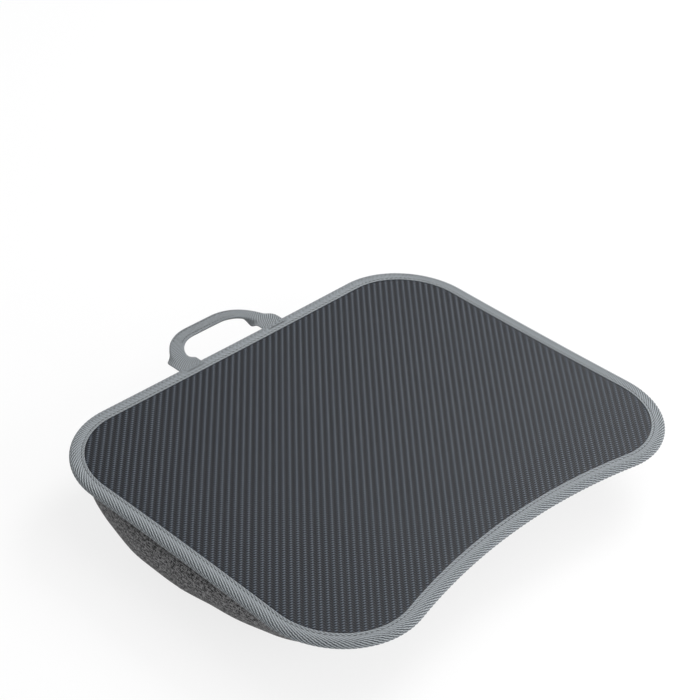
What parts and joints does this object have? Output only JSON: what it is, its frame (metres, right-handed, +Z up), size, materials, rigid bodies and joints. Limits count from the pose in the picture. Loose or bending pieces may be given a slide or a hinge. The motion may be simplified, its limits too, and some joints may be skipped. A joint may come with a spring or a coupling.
{
  "type": "cushioned lap tray",
  "caption": "Lap tray with a flat ribbed top in a bound rim, a scooped front edge, a bead cushion beneath and a webbing carry loop at the back.",
  "frame": {"origin": "centre of the cushion's flat base, on the surface that the tray stands on", "axes": "+Z up out of the tray's top, -Y towards the user at the scooped front edge, +Y to the carry loop, +X to the user's right"},
  "size_m": [0.4506, 0.3888, 0.0605],
  "materials": {
    "top_sheet": "ribbed soft sheet with a carbon-weave relief, slight sheen",
    "foam": "thin dark foam",
    "board": "plain pressed fibre board",
    "lining": "thin dark lining cloth",
    "beads": "light bead filling",
    "cushion_cloth": "mid grey linen-look woven cloth, matte",
    "binding": "woven twill tape, pale grey",
    "thread": "dark grey sewing thread",
    "webbing": "woven grey webbing"
  },
  "bodies": {
    "root": {"top_sheet": "top_sheet", "foam_pad": "foam", "board": "board", "cushion_lining": "lining", "bead_filling": "beads", "cushion_cover": "cushion_cloth", "edge_binding": "binding", "stitch_row_upper": "thread", "stitch_row_lower": "thread", "handle_tail_left": "webbing", "handle_tail_right": "webbing", "handle_bartack_left": "thread", "handle_bartack_right": "thread"},
    "handle": {"handle_strap": "webbing"}
  },
  "joints": [
    {"name": "handle_swing", "type": "hinge", "parent": "root", "child": "handle", "pos_m": [0, 0.1723, 0.0583], "axis": [1, 0, 0], "range_deg": [-78, 85]}
  ]
}
